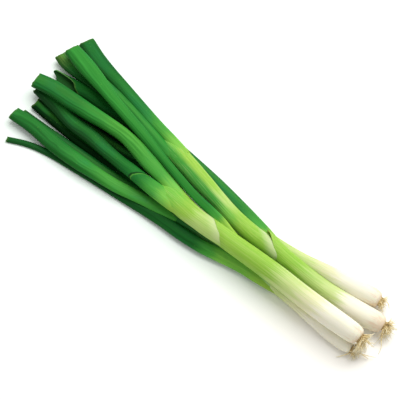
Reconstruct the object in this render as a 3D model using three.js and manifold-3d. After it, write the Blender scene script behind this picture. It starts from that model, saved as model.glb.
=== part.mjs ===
// Spring onion bunch: four spring onions lying loosely together on a surface, bulbs at the +X end,
// trimmed green leaves at the -X end. Onion A is on the far side (+Y), then B, C and D.
// Millimetres, +Z up, the surface is z = 0.

import * as THREE from 'three';
import { mergeVertices } from 'three/addons/utils/BufferGeometryUtils.js';
import Module from 'manifold-3d';

const wasm = await Module();
wasm.setup();
const { Manifold, Mesh: SolidMesh } = wasm;

// Driving dimensions
const leafWall = 0.9; // wall of a hollow leaf
const hollowFrom = 0.3; // share of a leaf's length where its hollow starts
const hollowOverrun = 2.7; // how far a hollow runs out past the cut end
const squareCut = { slant: 0, turn: 0 };
const gap = 0.35; // clear space left between pieces that press on each other
const leafSides = 12;
const hollowSides = 10;
const shankSides = 14;
const ringSpacing = 24; // between the rings of vertices along a leaf
const bunchMiddle = new THREE.Vector2(-2, 3); // middle of the bunch in the frame of the routes
const surfaceSlab = { length: 600, width: 300, depth: 40 };

// Roots
const rootThick = 1.5; // at the root plate
const rootTip = 0.8;
const rootSides = 3;
const rootSteps = 3;
const rootBend = 0.5; // share of a root's length where it bends
const rootReach = 0.85; // share of its length that it reaches straight out
const curl = 5; // how far its tip can turn aside
const firstSeed = 11;
const plateThick = 3;
const plateInset = 0.4; // of the plate's edge from the edge of the bulb's end
const plateDome = 0.7; // how much the plate closes towards its outer face

const colours = {
  white: 0xe9e4c8,
  root: 0xb39a62,
  midGreen: 0x5da25b,
  brightGreen: 0x7fb968,
  darkGreen: 0x2f6e3a,
};

// Each route runs from the bulb end to the cut end. A route point is [x, y, z, width].
// flat gives thickness over width at the start and at the end of the route, roll the tilt of the
// section about the route there, in degrees, with the near edge up when it is positive. A slanted
// cut reaches further at its turn: 0 is the near edge of the section, 90 the top, 180 the far edge.
const onions = {
  a: {
    sheath: {
      route: [[181, 25.4, 8.6, 9], [179.5, 25.2, 8.6, 14], [174, 24.4, 8.6, 17.2], [161, 22, 8.6, 17.8],
        [144, 19.3, 8.4, 17], [124, 16.4, 7.4, 15], [106, 14.2, 6.4, 13], [83, 12.6, 5.6, 11.6],
        [60, 12.2, 5.3, 11], [45, 12.4, 5.2, 10.8]],
      flat: [1, 1],
    },
    stem: {
      route: [[62, 12.2, 5.3, 9.6], [30, 13, 5, 10.4], [0, 15, 4.6, 12], [-24, 17, 4.4, 14]],
      flat: [1, 0.6],
    },
    leaves: {
      1: {
        route: [[-12, 20, 4.4, 9], [-60, 21.5, 3.6, 14], [-100, 22.8, 3.6, 14.5], [-137, 23, 4.4, 15],
          [-165, 20.8, 5.2, 15], [-186, 17.8, 6, 14.4]],
        flat: [0.6, 0.5], roll: [0, 0], cut: { slant: 19, turn: 215 }, colour: 'midGreen',
      },
      2: {
        route: [[-16, 13, 4.2, 7], [-60, 9.8, 3.1, 12], [-100, 8.4, 2.9, 14], [-150, 7.6, 2.9, 14],
          [-197, 4.6, 2.9, 13]],
        flat: [0.6, 0.42], roll: [0, 0], colour: 'darkGreen',
      },
      3: {
        route: [[-12, 9.6, 4.6, 5], [-30, 5.5, 4, 8], [-60, 0, 3.1, 12], [-100, -5, 2.9, 14],
          [-150, -7, 2.9, 14], [-193, -9.8, 2.9, 12.5]],
        flat: [0.6, 0.42], roll: [0, 0], colour: 'darkGreen',
      },
    },
    roots: { count: 9, length: [5, 9], spread: 0.9, droop: 0.5, strays: [[191, 27, 5], [188, 21, 3]] },
  },
  b: {
    sheath: {
      route: [[197, 8.8, 9.2, 9], [195.5, 8.6, 9.3, 14], [190, 7.6, 9.2, 18], [178, 5.5, 9.1, 19.2],
        [157, 3.4, 8.9, 18.8], [137, 2.5, 9, 17.6], [117, 2.4, 10.6, 16.8], [97, 2.7, 13.2, 17],
        [79, 3.5, 16, 18.2]],
      flat: [1, 0.95], cut: { slant: 12, turn: 180 },
    },
    stem: {
      route: [[90, 3, 14.4, 16.6], [62, 1.8, 17.4, 17.2], [37, 4.2, 18.6, 17.6], [14, 8.4, 18.8, 18.4],
        [-10, 13.5, 18.6, 19], [-32, 18, 18, 19.2], [-52, 22.4, 17.4, 18.6]],
      flat: [0.98, 0.44],
    },
    leaves: {
      1: {
        route: [[84, 10.5, 12.6, 4], [66, 12.4, 13.6, 9.5], [48, 15.6, 14.2, 12], [25, 19.4, 14, 12],
          [0, 23.6, 13.2, 11.4], [-25, 27.2, 11.8, 11], [-62, 31.5, 8.6, 11.5], [-112, 34.6, 6.2, 12],
          [-166, 34, 6, 12.5], [-199, 34.6, 6.4, 13], [-212, 37.6, 6.6, 11.5]],
        flat: [0.42, 0.36], roll: [35, 0], colour: 'darkGreen',
      },
      2: {
        route: [[-38, 24.8, 17.6, 10], [-58, 28.4, 17.8, 11], [-80, 32.6, 17.2, 11.4],
          [-103, 37.8, 16.2, 11.8], [-130, 44, 14.6, 13], [-158, 50.4, 12.6, 14.6],
          [-180, 56.4, 10.8, 16], [-202, 64.6, 9.2, 16.4]],
        flat: [0.72, 0.32], roll: [0, 0], colour: 'brightGreen',
      },
      3: {
        route: [[-38, 16, 17.2, 9], [-60, 18, 17.4, 12.6], [-77, 22.2, 17.2, 12.2],
          [-100, 27.6, 16.6, 12], [-125, 32.8, 15.2, 11.6], [-147, 37.6, 13.2, 11.5],
          [-175, 44.4, 10.4, 11.4], [-196, 52, 7.6, 11.4]],
        flat: [0.6, 0.36], roll: [0, 0], colour: 'midGreen',
      },
    },
    roots: {
      count: 13, length: [6, 12], spread: 1, droop: 0.4,
      strays: [[205, 9, 5], [204, 3, 3], [203, -4, 2], [199, -14, 1]],
    },
  },
  c: {
    sheath: {
      route: [[190, -17.8, 20.2, 9.5], [188.5, -17.8, 20.4, 14.5], [183, -18.1, 20.8, 17.8],
        [171, -18.6, 21.2, 18.6], [154, -19.2, 21.5, 19], [130, -19, 21.5, 18.8], [106, -18.2, 21.3, 18.8],
        [80, -18.3, 21.2, 18.4], [58, -18.7, 21, 18.2], [36, -19.2, 20.9, 18.4]],
      flat: [1, 0.88], cut: { slant: 11, turn: 180 },
    },
    stem: {
      route: [[50, -18.8, 21, 17.2], [32, -19.6, 20.8, 17.8], [12, -19.8, 20.5, 18.8], [-4, -18.8, 20, 20],
        [-18, -17.4, 19.6, 21]],
      flat: [0.95, 0.6],
    },
    leaves: {
      1: {
        route: [[60, -14, 22, 5], [46, -12.4, 22.9, 7.4], [33, -9.8, 23.8, 8.6], [21, -7.9, 24.6, 8],
          [0, -5.4, 25, 7.6], [-27, 0.4, 24.5, 7.8], [-53, 7, 23.5, 8.4], [-87, 15.8, 22.2, 10.4],
          [-125, 25, 20.4, 11.4], [-144, 30.2, 19.4, 13.2], [-158, 34.2, 18.6, 15.8],
          [-180, 39.8, 17.4, 17.8], [-203, 45.6, 16.6, 15.6]],
        flat: [0.55, 0.28], roll: [-30, 0], colour: 'brightGreen',
      },
      2: {
        route: [[2, -14.5, 20, 11], [-18, -11.2, 19.8, 12], [-34, -7.4, 19.4, 12.8], [-56, -2.4, 19, 15],
          [-76, 2.4, 18.4, 13.4], [-95, 5, 17.8, 12.2], [-112, 4.8, 17.4, 13], [-138, 2.6, 16.8, 16.2],
          [-164, 1.4, 16, 17.6], [-187, 0.8, 15.4, 17.4], [-204, -2.4, 15, 16.6]],
        flat: [0.75, 0.32], roll: [0, 0], colour: 'brightGreen',
      },
      3: {
        route: [[2, -21.4, 19.8, 12], [-16, -21.6, 19.8, 15], [-34, -21.4, 19.4, 15],
          [-52, -20.6, 18.2, 13.6], [-66, -19.2, 16.4, 13], [-80, -18.4, 14.6, 12.8],
          [-97, -16.8, 12.8, 13.4], [-121, -14.2, 10.8, 15], [-146, -13, 9, 16], [-173, -8, 8.6, 15.4],
          [-199, -4, 8.4, 15]],
        flat: [0.75, 0.34], roll: [0, 0], colour: 'midGreen',
      },
    },
    roots: { count: 14, length: [6, 12], spread: 1.1, droop: 1.1, strays: [[193, -27, 10], [198, -21, 8]] },
  },
  d: {
    sheath: {
      route: [[188, -24, 6.2, 7.5], [186.5, -24.2, 6.3, 10.5], [180, -24.9, 6.4, 13], [166, -24.8, 6.4, 13.4],
        [144, -23, 6.1, 12.8], [121, -20.8, 5.9, 12.2], [98, -20.2, 5.8, 12]],
      flat: [1, 1],
    },
    stem: {
      route: [[115, -20.6, 5.8, 10.4], [70, -20, 5.5, 11.4], [40, -20.6, 5.3, 11.6], [10, -22, 5, 12.4],
        [-14, -24.4, 4.8, 13]],
      flat: [1, 0.75],
    },
    leaves: {
      1: {
        route: [[118, -23.4, 6.6, 3.5], [103, -24.6, 6.8, 6], [86, -25.4, 7, 8.6], [70, -25.8, 7, 10.4],
          [52, -28.4, 6.8, 11.8], [31, -32.6, 6.6, 12.4], [9, -34.6, 6, 12.4], [-14, -35.2, 5, 11.6],
          [-37, -36.6, 4, 11], [-62, -39, 3, 10.5], [-105, -43.6, 2.1, 9], [-147, -49.4, 1.5, 6.6],
          [-167, -54.8, 1.4, 6], [-185, -63.2, 1.3, 5.6]],
        flat: [0.42, 0.46], roll: [-35, 0], colour: 'darkGreen',
      },
      2: {
        route: [[-4, -26.2, 7.4, 7], [-29, -29, 7.6, 11], [-51, -33, 7.8, 12], [-71, -36.8, 7.8, 12.6],
          [-94, -39, 7.6, 13.6], [-118, -40.4, 7.4, 15], [-143, -40.6, 7.2, 15.6], [-172, -39, 7, 15],
          [-198, -40, 6.8, 13.6]],
        flat: [0.5, 0.32], roll: [0, 0], colour: 'brightGreen',
      },
      3: {
        route: [[-6, -20.6, 4.6, 6], [-50, -26.6, 2.9, 11], [-93, -30.4, 2.6, 12], [-131, -32.4, 2.5, 12],
          [-166, -33.8, 2.5, 12], [-194, -34.4, 2.5, 11.5]],
        flat: [0.5, 0.38], roll: [0, 0], colour: 'midGreen',
      },
      4: {
        route: [[-4, -18.4, 6.4, 5], [-50, -17.6, 4, 11.5], [-93, -18.4, 3, 14], [-131, -19, 2.9, 14.2],
          [-166, -18.2, 2.9, 13.6], [-192, -17, 2.9, 12]],
        flat: [0.5, 0.4], roll: [0, 0], colour: 'darkGreen',
      },
    },
    roots: {
      count: 11, length: [6, 11], spread: 1, droop: 0.3,
      strays: [[208, -16, 2], [204, -21, 1.6], [196, -29, 1.4], [182, -37, 1.2]],
    },
  },
};

// Seeded random numbers, so that the roots come out the same each time
function randomFrom(seed) {
  let state = seed;
  return () => {
    state = (state * 1664525 + 1013904223) % 4294967296;
    return state / 4294967296;
  };
}

const mix = (from, to, share) => from + (to - from) * share;

// A closed solid from vertex positions and triangles
function solidFrom(positions, triangles) {
  const geometry = new THREE.BufferGeometry();
  geometry.setAttribute('position', new THREE.Float32BufferAttribute(positions, 3));
  geometry.setIndex(triangles);
  return solidOf(geometry);
}

// A closed solid from any closed geometry
function solidOf(source) {
  const geometry = source.clone();
  geometry.deleteAttribute('normal');
  geometry.deleteAttribute('uv');
  const merged = mergeVertices(geometry, 1e-4);
  return new Manifold(new SolidMesh({
    numProp: 3,
    vertProperties: new Float32Array(merged.attributes.position.array),
    triVerts: new Uint32Array(merged.index.array),
  }));
}

// Triangles between rings of vertices, with a flat fan over each end
function skinRings(rings) {
  const sides = rings[0].length;
  const positions = rings.flat().flatMap((point) => point.toArray());
  const triangles = [];
  for (let ring = 0; ring < rings.length - 1; ring += 1) {
    for (let side = 0; side < sides; side += 1) {
      const here = ring * sides + side;
      const beside = ring * sides + ((side + 1) % sides);
      triangles.push(here, beside, here + sides);
      triangles.push(beside, beside + sides, here + sides);
    }
  }
  const last = (rings.length - 1) * sides;
  for (let side = 1; side < sides - 1; side += 1) {
    triangles.push(0, side + 1, side);
    triangles.push(last, last + side, last + side + 1);
  }
  return solidFrom(positions, triangles);
}

// A route of [x, y, z, width] points as smooth curves of place and of section
function smoothRoute({ route, flat, roll = [0, 0] }) {
  const places = route.map(([x, y, z]) => new THREE.Vector3(x, y, z));
  const sections = route.map((point, index) => {
    const share = index / (route.length - 1);
    return new THREE.Vector3(point[3], point[3] * mix(flat[0], flat[1], share), mix(roll[0], roll[1], share));
  });
  return {
    spans: route.length - 1,
    place: new THREE.CatmullRomCurve3(places, false, 'centripetal'),
    section: new THREE.CatmullRomCurve3(sections, false, 'centripetal'),
  };
}

// A solid of oval section along a route, with a ring of vertices at each route point, or every
// spacing millimetres. grow makes it thicker all round and longer at both ends.
function sweep(shape, { sides, spacing, grow = 0, from = 0, overrun = 0 }) {
  const { spans, place, section } = smoothRoute(shape);
  const { slant, turn } = shape.cut ?? squareCut;
  const edge = THREE.MathUtils.degToRad(turn);
  const count = spacing ? Math.round(place.getLength() / spacing) : spans;
  const up = new THREE.Vector3(0, 0, 1);
  const rings = [];
  for (let step = Math.round(from * count); step <= count; step += 1) {
    const share = spacing ? place.getUtoTmapping(step / count) : step / count;
    const centre = place.getPoint(share);
    const along = place.getTangent(share);
    const [width, thick, roll] = section.getPoint(share).toArray();
    const flatSide = new THREE.Vector3().crossVectors(up, along).normalize();
    const flatTop = new THREE.Vector3().crossVectors(along, flatSide);
    const tilt = THREE.MathUtils.degToRad(roll);
    const side = flatSide.clone().multiplyScalar(Math.cos(tilt)).addScaledVector(flatTop, Math.sin(tilt));
    const top = flatTop.clone().multiplyScalar(Math.cos(tilt)).addScaledVector(flatSide, -Math.sin(tilt));
    if (step === count) centre.addScaledVector(along, grow + overrun);
    if (rings.length === 0) centre.addScaledVector(along, -grow);
    const ring = [];
    for (let corner = 0; corner < sides; corner += 1) {
      const angle = (2 * Math.PI * corner) / sides;
      const sideways = (width / 2 + grow) * Math.cos(angle);
      const upward = (thick / 2 + grow) * Math.sin(angle);
      const lean = (2 * sideways / width) * Math.cos(edge) + (2 * upward / thick) * Math.sin(edge);
      const point = centre.clone().addScaledVector(side, sideways).addScaledVector(top, upward);
      if (step === count) point.addScaledVector(along, slant * lean);
      ring.push(point);
    }
    rings.push(ring);
  }
  return skinRings(rings);
}

// Everything below the surface, cut away so that what touches the surface has a flat spot there
function slabBelowSurface() {
  const { length, width, depth } = surfaceSlab;
  return solidOf(new THREE.BoxGeometry(length, width, depth).translate(0, 0, -depth / 2));
}

// The one body among several that is largest
function largestBody(solid) {
  const bodies = solid.decompose();
  return bodies.reduce((best, body) => (body.volume() > best.volume() ? body : best));
}

// The bulb with its sheath, and the stem that comes out of the sheath's rim
function shankSolid(onion, grow = 0) {
  const sheath = sweep(onion.sheath, { sides: shankSides, grow });
  const stem = sweep(onion.stem, { sides: shankSides, grow });
  return sheath.add(stem);
}

// A leaf's outside, thicker all round by grow
const leafOutside = (leaf, grow = 0) => sweep(leaf, { sides: leafSides, spacing: ringSpacing, grow });

// The hollow inside a leaf, which runs out through its cut end
function leafHollow(leaf) {
  return sweep(leaf, {
    sides: hollowSides, spacing: ringSpacing, grow: -leafWall, from: hollowFrom, overrun: hollowOverrun,
  });
}

// One root: a thin tapered tube that bends from its start towards its tip
function rootSolid(start, heading, length, aside) {
  const bend = start.clone().addScaledVector(heading, length * rootBend);
  const end = start.clone().addScaledVector(heading, length * rootReach).add(aside);
  return taperedTube(new THREE.QuadraticBezierCurve3(start, bend, end));
}

// A thin tube along a curve, from rootThick down to rootTip
function taperedTube(curve) {
  const frames = curve.computeFrenetFrames(rootSteps, false);
  const rings = [];
  for (let step = 0; step <= rootSteps; step += 1) {
    const share = step / rootSteps;
    const radius = mix(rootThick, rootTip, share) / 2;
    const centre = curve.getPointAt(share);
    const ring = [];
    for (let corner = 0; corner < rootSides; corner += 1) {
      const angle = (2 * Math.PI * corner) / rootSides;
      ring.push(centre.clone()
        .addScaledVector(frames.normals[step], radius * Math.cos(angle))
        .addScaledVector(frames.binormals[step], radius * Math.sin(angle)));
    }
    rings.push(ring);
  }
  return skinRings(rings);
}

// The root plate at the end of a bulb, with its roots sunk into it
function rootBeard(onion, seed) {
  const random = randomFrom(seed);
  const { count, length, spread, droop, strays } = onion.roots;
  const [tip, next] = onion.sheath.route;
  const end = new THREE.Vector3(tip[0], tip[1], tip[2]);
  const outward = end.clone().sub(new THREE.Vector3(next[0], next[1], next[2])).normalize();
  const sideways = new THREE.Vector3().crossVectors(new THREE.Vector3(0, 0, 1), outward).normalize();
  const upward = new THREE.Vector3().crossVectors(outward, sideways);
  const plateRadius = tip[3] / 2 - plateInset;
  const plateRings = [0, 0.6, 1].map((share) => {
    const radius = plateRadius * Math.sqrt(1 - plateDome * share * share);
    const centre = end.clone().addScaledVector(outward, gap + plateThick * share);
    return Array.from({ length: shankSides }, (_, corner) => {
      const angle = (2 * Math.PI * corner) / shankSides;
      return centre.clone()
        .addScaledVector(sideways, radius * Math.cos(angle))
        .addScaledVector(upward, radius * Math.sin(angle));
    });
  });
  let beard = skinRings(plateRings);
  const plateMiddle = end.clone().addScaledVector(outward, gap + plateThick / 2);
  const rootStart = (angle, share) => plateMiddle.clone()
    .addScaledVector(sideways, plateRadius * share * Math.cos(angle))
    .addScaledVector(upward, plateRadius * share * Math.sin(angle));
  for (let index = 0; index < count; index += 1) {
    const angle = (2 * Math.PI * (index + 0.6 * random())) / count;
    const share = mix(0.25, 0.75, random());
    const heading = outward.clone()
      .addScaledVector(sideways, spread * share * Math.cos(angle))
      .addScaledVector(upward, spread * share * Math.sin(angle))
      .add(new THREE.Vector3(0, 0, -droop * random()))
      .normalize();
    const aside = new THREE.Vector3(random() - 0.5, random() - 0.5, -droop * random()).multiplyScalar(curl);
    const reach = mix(length[0], length[1], random());
    beard = beard.add(rootSolid(rootStart(angle, share), heading, reach, aside));
  }
  for (const [x, y, z] of strays) {
    const stray = new THREE.Vector3(x, y, z);
    const start = rootStart(2 * Math.PI * random(), 0.4);
    const middle = start.clone().lerp(stray, 0.5).addScaledVector(outward, 2);
    beard = beard.add(taperedTube(new THREE.QuadraticBezierCurve3(start, middle, stray)));
  }
  return beard;
}

// A named mesh from a finished solid
function meshFrom(name, solid, colour) {
  const { vertProperties, triVerts } = solid.getMesh();
  const geometry = new THREE.BufferGeometry();
  geometry.setAttribute('position', new THREE.BufferAttribute(new Float32Array(vertProperties), 3));
  geometry.setIndex(Array.from(triVerts));
  const material = new THREE.MeshStandardMaterial({ color: colours[colour], roughness: 0.45, metalness: 0 });
  const mesh = new THREE.Mesh(geometry, material);
  mesh.name = name;
  return mesh;
}

// Pieces in the order in which they keep their shape: each is pressed in by all before it
const pressOrder = ['c', 'b', 'a', 'd'];
const leafOrder = [['c', 3], ['c', 2], ['c', 1], ['b', 3], ['b', 2], ['d', 2], ['b', 1], ['a', 1],
  ['d', 4], ['d', 3], ['d', 1], ['a', 3], ['a', 2]];

const bunch = new THREE.Group();
bunch.position.set(-bunchMiddle.x, -bunchMiddle.y, 0);
const below = slabBelowSurface();
const placed = []; // solids already made, each with the function that grows it

// Cut a solid by every piece placed so far, grown by a margin
function clearOf(solid, margin) {
  const box = solid.boundingBox();
  let result = solid;
  for (const { grown, bounds } of placed) {
    const apart = [0, 1, 2].some((axis) => box.min[axis] > bounds.max[axis] + margin
      || box.max[axis] < bounds.min[axis] - margin);
    if (!apart) result = result.subtract(grown(margin));
  }
  return result;
}

function place(name, solid, colour, grown) {
  placed.push({ grown, bounds: solid.boundingBox() });
  bunch.add(meshFrom(name, solid, colour));
}

for (const letter of pressOrder) {
  const onion = onions[letter];
  const shank = largestBody(clearOf(shankSolid(onion), gap).subtract(below));
  place(`onion_${letter}_shank`, shank, 'white', (margin) => shankSolid(onion, margin));
}

for (const [letter, number] of leafOrder) {
  const leaf = onions[letter].leaves[number];
  const outside = largestBody(clearOf(leafOutside(leaf), gap).subtract(below));
  const hollow = clearOf(leafHollow(leaf), gap + leafWall);
  const solid = largestBody(outside.subtract(largestBody(hollow)));
  place(`onion_${letter}_leaf_${number}`, solid, leaf.colour, (margin) => leafOutside(leaf, margin));
}

pressOrder.forEach((letter, index) => {
  const beard = largestBody(clearOf(rootBeard(onions[letter], firstSeed + index), gap).subtract(below));
  place(`onion_${letter}_roots`, beard, 'root', () => beard);
});

export default bunch;
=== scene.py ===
"""Looks of a bunch of spring onions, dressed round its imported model.

The plant's own sizes are in millimetres, in the frame of its routes, and every mesh is in metres, in the
frame of the part. Azimuths and slopes are in degrees.
"""

import logging
import math
import random
from dataclasses import dataclass, field
from enum import Enum

import bpy
import numpy as np
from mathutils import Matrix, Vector


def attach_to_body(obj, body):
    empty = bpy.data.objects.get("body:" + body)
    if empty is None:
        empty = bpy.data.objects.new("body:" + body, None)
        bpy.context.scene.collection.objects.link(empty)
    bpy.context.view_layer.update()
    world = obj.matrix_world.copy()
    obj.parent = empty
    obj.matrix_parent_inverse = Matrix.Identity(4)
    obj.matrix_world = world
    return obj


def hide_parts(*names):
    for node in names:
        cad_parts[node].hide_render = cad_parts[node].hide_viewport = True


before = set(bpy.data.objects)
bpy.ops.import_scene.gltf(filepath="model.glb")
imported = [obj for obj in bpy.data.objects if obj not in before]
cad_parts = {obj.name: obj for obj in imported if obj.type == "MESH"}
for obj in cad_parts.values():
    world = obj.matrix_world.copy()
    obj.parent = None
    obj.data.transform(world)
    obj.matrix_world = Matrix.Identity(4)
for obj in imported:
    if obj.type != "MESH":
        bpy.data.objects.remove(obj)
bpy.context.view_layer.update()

LOG = logging.getLogger("spring_onions")
Colour = tuple[float, float, float]
Point = tuple[float, float, float]
Marks = dict[str, np.ndarray]
Socket = bpy.types.NodeSocket

MM = 0.001
BUNCH_SHIFT = np.array([2.0, -3.0, 0.0])  # from the frame of the routes to the frame of the part
BULB_END, LEAF_END = 200.0, -215.0  # ends of the bunch along X
UP = np.array([0.0, 0.0, 1.0])

RING_SPACING = 1.7  # between rings of vertices
STEPS_TO_MEASURE = 40  # for each point of a route, to find its length
THINNEST = 0.2  # half width of a section that has shrunk to nothing
BOX_CHANGE = (0.25, 0.85)  # shares of a route between which its section changes how boxy it is
UNEVEN_WAVES = (2, 3, 4)  # round a section
CUT_WAVES = (2, 3, 5, 8)  # round the rim of a cut
PATTERN_RANGE = (0.3, 0.7)  # that most of a noise pattern lies in
CUT_DRAWS = 100  # added to a leaf's seed for the random draws of its cut
NO_LENGTH, NO_SQUARE = 1e-6, 1e-9  # least values to divide by


class Tone(Enum):
    """Colours of the plant, as linear red, green and blue."""

    PEACH = (0.74, 0.60, 0.44)
    FLESH = (0.82, 0.785, 0.64)
    IVORY = (0.70, 0.69, 0.42)
    CREAM = (0.52, 0.62, 0.24)
    PALE_LIME = (0.41, 0.56, 0.16)
    LIME = (0.275, 0.485, 0.055)
    SAP = (0.17, 0.46, 0.055)
    GRASS = (0.052, 0.29, 0.034)
    BRIGHT = (0.022, 0.215, 0.025)
    LEAF = (0.010, 0.145, 0.018)
    FIR = (0.006, 0.105, 0.012)
    PINE = (0.002, 0.065, 0.007)
    DEEP = (0.001, 0.026, 0.003)
    OLIVE = (0.09, 0.19, 0.03)
    BLUSH = (0.62, 0.66, 0.40)
    CUT_FACE = (0.13, 0.36, 0.09)
    # painted shade for the inside of a leaf's hollow
    HOLLOW = (0.012, 0.075, 0.012)
    TAN = (0.68, 0.53, 0.25)
    STRAW = (0.86, 0.75, 0.45)
    BARK = (0.36, 0.24, 0.10)


Stops = tuple[tuple[float, Tone], ...]  # places along X, from the bulbs to the leaf ends, and their tones


def stops(**places: float | tuple[float, ...]) -> Stops:
    """Put tones in their order along the bunch.

    Args:
        **places: For each tone, by its name in small letters, the place or places along X that have it.

    Returns:
        The places and their tones, from the bulbs to the leaf ends.
    """
    pairs = [
        (place, Tone[name.upper()])
        for name, spots in places.items() for place in np.atleast_1d(spots)
    ]
    return tuple(sorted(pairs, key=lambda pair: -pair[0]))


def unit(rows: np.ndarray) -> np.ndarray:
    """Rows of vectors, each at length 1."""
    return rows / np.linalg.norm(rows, axis=-1, keepdims=True)


def smooth_step(values: np.ndarray, low: float, high: float) -> np.ndarray:
    """A soft change from 0 at low to 1 at high, which may be the lesser of the two."""
    share = np.clip((values - low) / (high - low), 0.0, 1.0)
    return share * share * (3.0 - 2.0 * share)


def smooth_curve(rows: np.ndarray, at: np.ndarray) -> np.ndarray:
    """Centripetal Catmull-Rom curve through rows of numbers.

    Args:
        rows: The points that the curve goes through.
        at: Where to read it, from 0 at the first row to 1 at the last.

    Returns:
        One row of numbers for each value of at.
    """
    tiny = 1e-4
    padded = np.vstack([2 * rows[0] - rows[1], rows, 2 * rows[-1] - rows[-2]])
    spans = len(rows) - 1
    place = np.clip(at, 0.0, 1.0) * spans
    span = np.minimum(place.astype(int), spans - 1)
    weight = (place - span)[:, None]
    before, here, after, beyond = (padded[span + step] for step in range(4))
    first, middle, last = (
        np.sum((end - start) ** 2, axis=1)[:, None] ** 0.25
        for start, end in ((before, here), (here, after), (after, beyond))
    )
    middle = np.where(middle < tiny, 1.0, middle)
    first = np.where(first < tiny, middle, first)
    last = np.where(last < tiny, middle, last)
    leave = (here - before) / first - (after - before) / (first + middle) + (after - here) / middle
    arrive = (after - here) / middle - (beyond - here) / (middle + last) + (beyond - after) / last
    leave = leave * middle
    arrive = arrive * middle
    square = 3 * (after - here) - 2 * leave - arrive
    cubic = 2 * (here - after) + leave + arrive
    return here + weight * (leave + weight * (square + weight * cubic))


@dataclass(frozen=True)
class Rings:
    """Oval sections along a route, one row each, in millimetres."""

    centre: np.ndarray
    along: np.ndarray
    side: np.ndarray
    top: np.ndarray
    width: np.ndarray
    thick: np.ndarray
    travel: np.ndarray

    def share(self) -> np.ndarray:
        """How far along the route each section is, from 0 to 1."""
        return self.travel / self.travel[-1]

    def left(self) -> np.ndarray:
        """How far it is from each section to the end of the route."""
        return self.travel[-1] - self.travel

    def pick(self, keep: slice | np.ndarray) -> "Rings":
        """Only the sections to keep."""
        return Rings(*(rows[keep] for rows in vars(self).values()))

    def last(self) -> "Rings":
        """The section at the end of the route."""
        return self.pick(slice(-1, None))


@dataclass(frozen=True)
class Route:
    """A line that a part of the plant follows, from its bulb end to its cut end.

    A point is (x, y, z, width). flat is thickness over width at the start and the end, and roll the tilt of
    the section there, with the near edge up when it is positive.
    """

    points: tuple[tuple[float, float, float, float], ...]
    flat: tuple[float, float] = (1.0, 1.0)
    roll: tuple[float, float] = (0.0, 0.0)

    def rings(self, spacing: float = RING_SPACING) -> Rings:
        """Sections at even steps.

        Args:
            spacing: Distance between two sections.

        Returns:
            The sections, from the start of the route to its end.
        """
        nudge = 0.01
        rows = np.array(self.points)
        places = rows[:, :3]
        change = np.linspace(0.0, 1.0, len(rows))
        thick = rows[:, 3] * np.interp(change, [0, 1], self.flat)
        sections = np.column_stack([rows[:, 3], thick, np.interp(change, [0, 1], self.roll)])
        fine = np.linspace(0.0, 1.0, STEPS_TO_MEASURE * len(rows))
        steps = np.linalg.norm(np.diff(smooth_curve(places, fine), axis=0), axis=1)
        distance = np.concatenate([[0.0], np.cumsum(steps)])
        travel = np.linspace(0.0, distance[-1], max(4, round(distance[-1] / spacing)) + 1)
        at = np.interp(travel, distance, fine)
        ahead = smooth_curve(places, np.minimum(at + nudge, 1.0))
        behind = smooth_curve(places, np.maximum(at - nudge, 0.0))
        along = unit(ahead - behind)
        flat_side = unit(np.cross(UP, along))
        flat_top = np.cross(along, flat_side)
        width, thick, roll = smooth_curve(sections, at).T
        tilt = np.radians(roll)[:, None]
        side = flat_side * np.cos(tilt) + flat_top * np.sin(tilt)
        top = flat_top * np.cos(tilt) - flat_side * np.sin(tilt)
        return Rings(smooth_curve(places, at), along, side, top, width, thick, travel)


@dataclass(frozen=True)
class Section:
    """The shape of a section: how boxy its oval is, and its soft unevenness."""

    box: float = 1.0  # 1 for an oval at the start, less for a boxier shape
    box_end: float = 1.0  # the same at the cut end
    uneven: float = 0.03
    seed: int = 1

    def outline(self, rings: Rings, angles: np.ndarray, shrink: float | np.ndarray = 0.0) -> np.ndarray:
        """Points of the skin.

        Args:
            rings: Sections of the route.
            angles: Places round the section, in radians.
            shrink: How much smaller the half width and half thickness are, for all rings or for each.

        Returns:
            Points as rings by sides by 3.
        """
        share = rings.share()
        draw = np.random.default_rng(self.seed)
        swell = np.ones((len(share), len(angles)))
        for waves in UNEVEN_WAVES:
            phase, turn, pace = draw.uniform(0, 2 * math.pi), draw.uniform(-2, 2), draw.uniform(2, 5)
            drift = np.sin(pace * 2 * math.pi * share + phase)[:, None]
            swell += self.uneven / waves * drift * np.cos(waves * angles + turn * share[:, None])
        box = (self.box + (self.box_end - self.box) * smooth_step(share, *BOX_CHANGE))[:, None]
        across, upward = (np.sign(wave) * np.abs(wave) ** box for wave in (np.cos(angles), np.sin(angles)))
        half_width = np.maximum(rings.width / 2 - shrink, THINNEST)[:, None]
        half_thick = np.maximum(rings.thick / 2 - shrink, THINNEST)[:, None]
        sideways = (half_width * across * swell)[..., None] * rings.side[:, None, :]
        raised = (half_thick * upward * swell)[..., None] * rings.top[:, None, :]
        return rings.centre[:, None, :] + sideways + raised


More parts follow.
